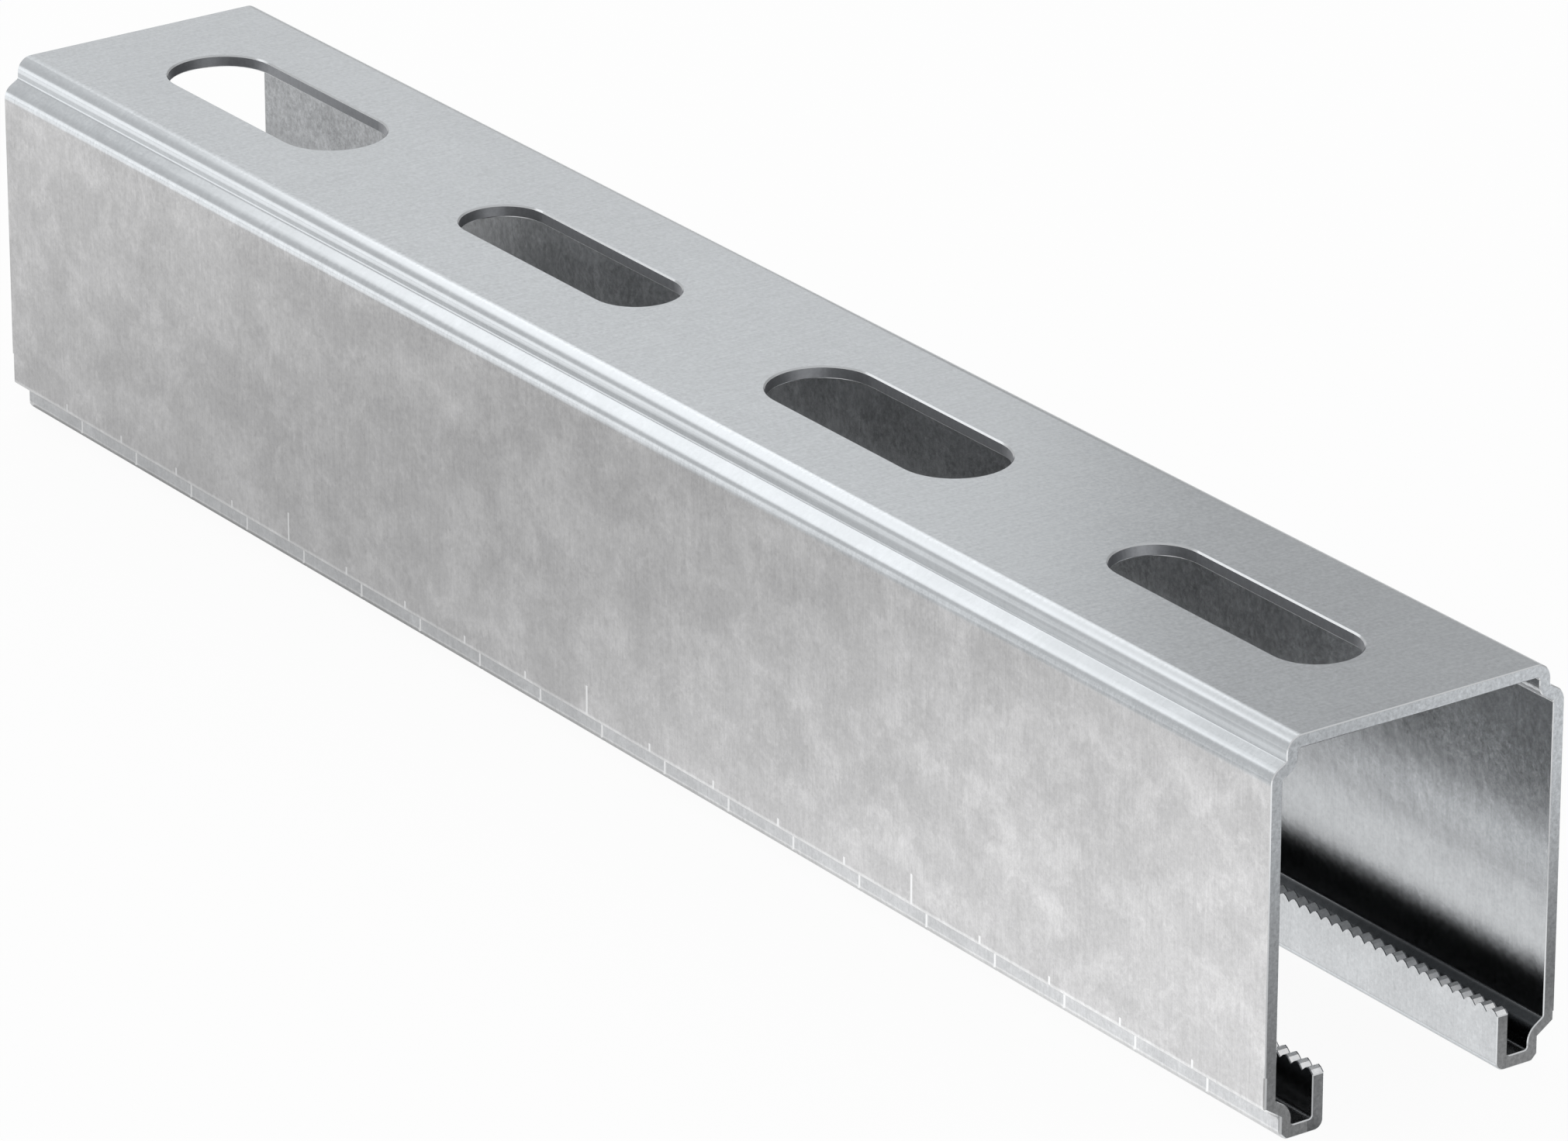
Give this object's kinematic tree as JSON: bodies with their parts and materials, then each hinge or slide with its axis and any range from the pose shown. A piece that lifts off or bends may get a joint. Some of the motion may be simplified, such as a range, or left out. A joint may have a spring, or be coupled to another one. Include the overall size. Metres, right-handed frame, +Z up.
{
  "type": "strut channel",
  "caption": "Slotted strut channel of bent sheet steel with toothed lips, stepped shoulders, wide and narrow slots by turns and an engraved centimetre scale, cut to a short length.",
  "frame": {"origin": "middle of the length and width, on the level floor that the two lips rest on", "axes": "+X along the bar, +Y across it, +Z up through the slotted back"},
  "size_m": [0.2, 0.0308, 0.0365],
  "materials": {
    "zinc_coat": "satin hot-dip zinc coat with a faint cloudy mottle"
  },
  "bodies": {
    "root": {"channel": "zinc_coat"}
  },
  "joints": []
}
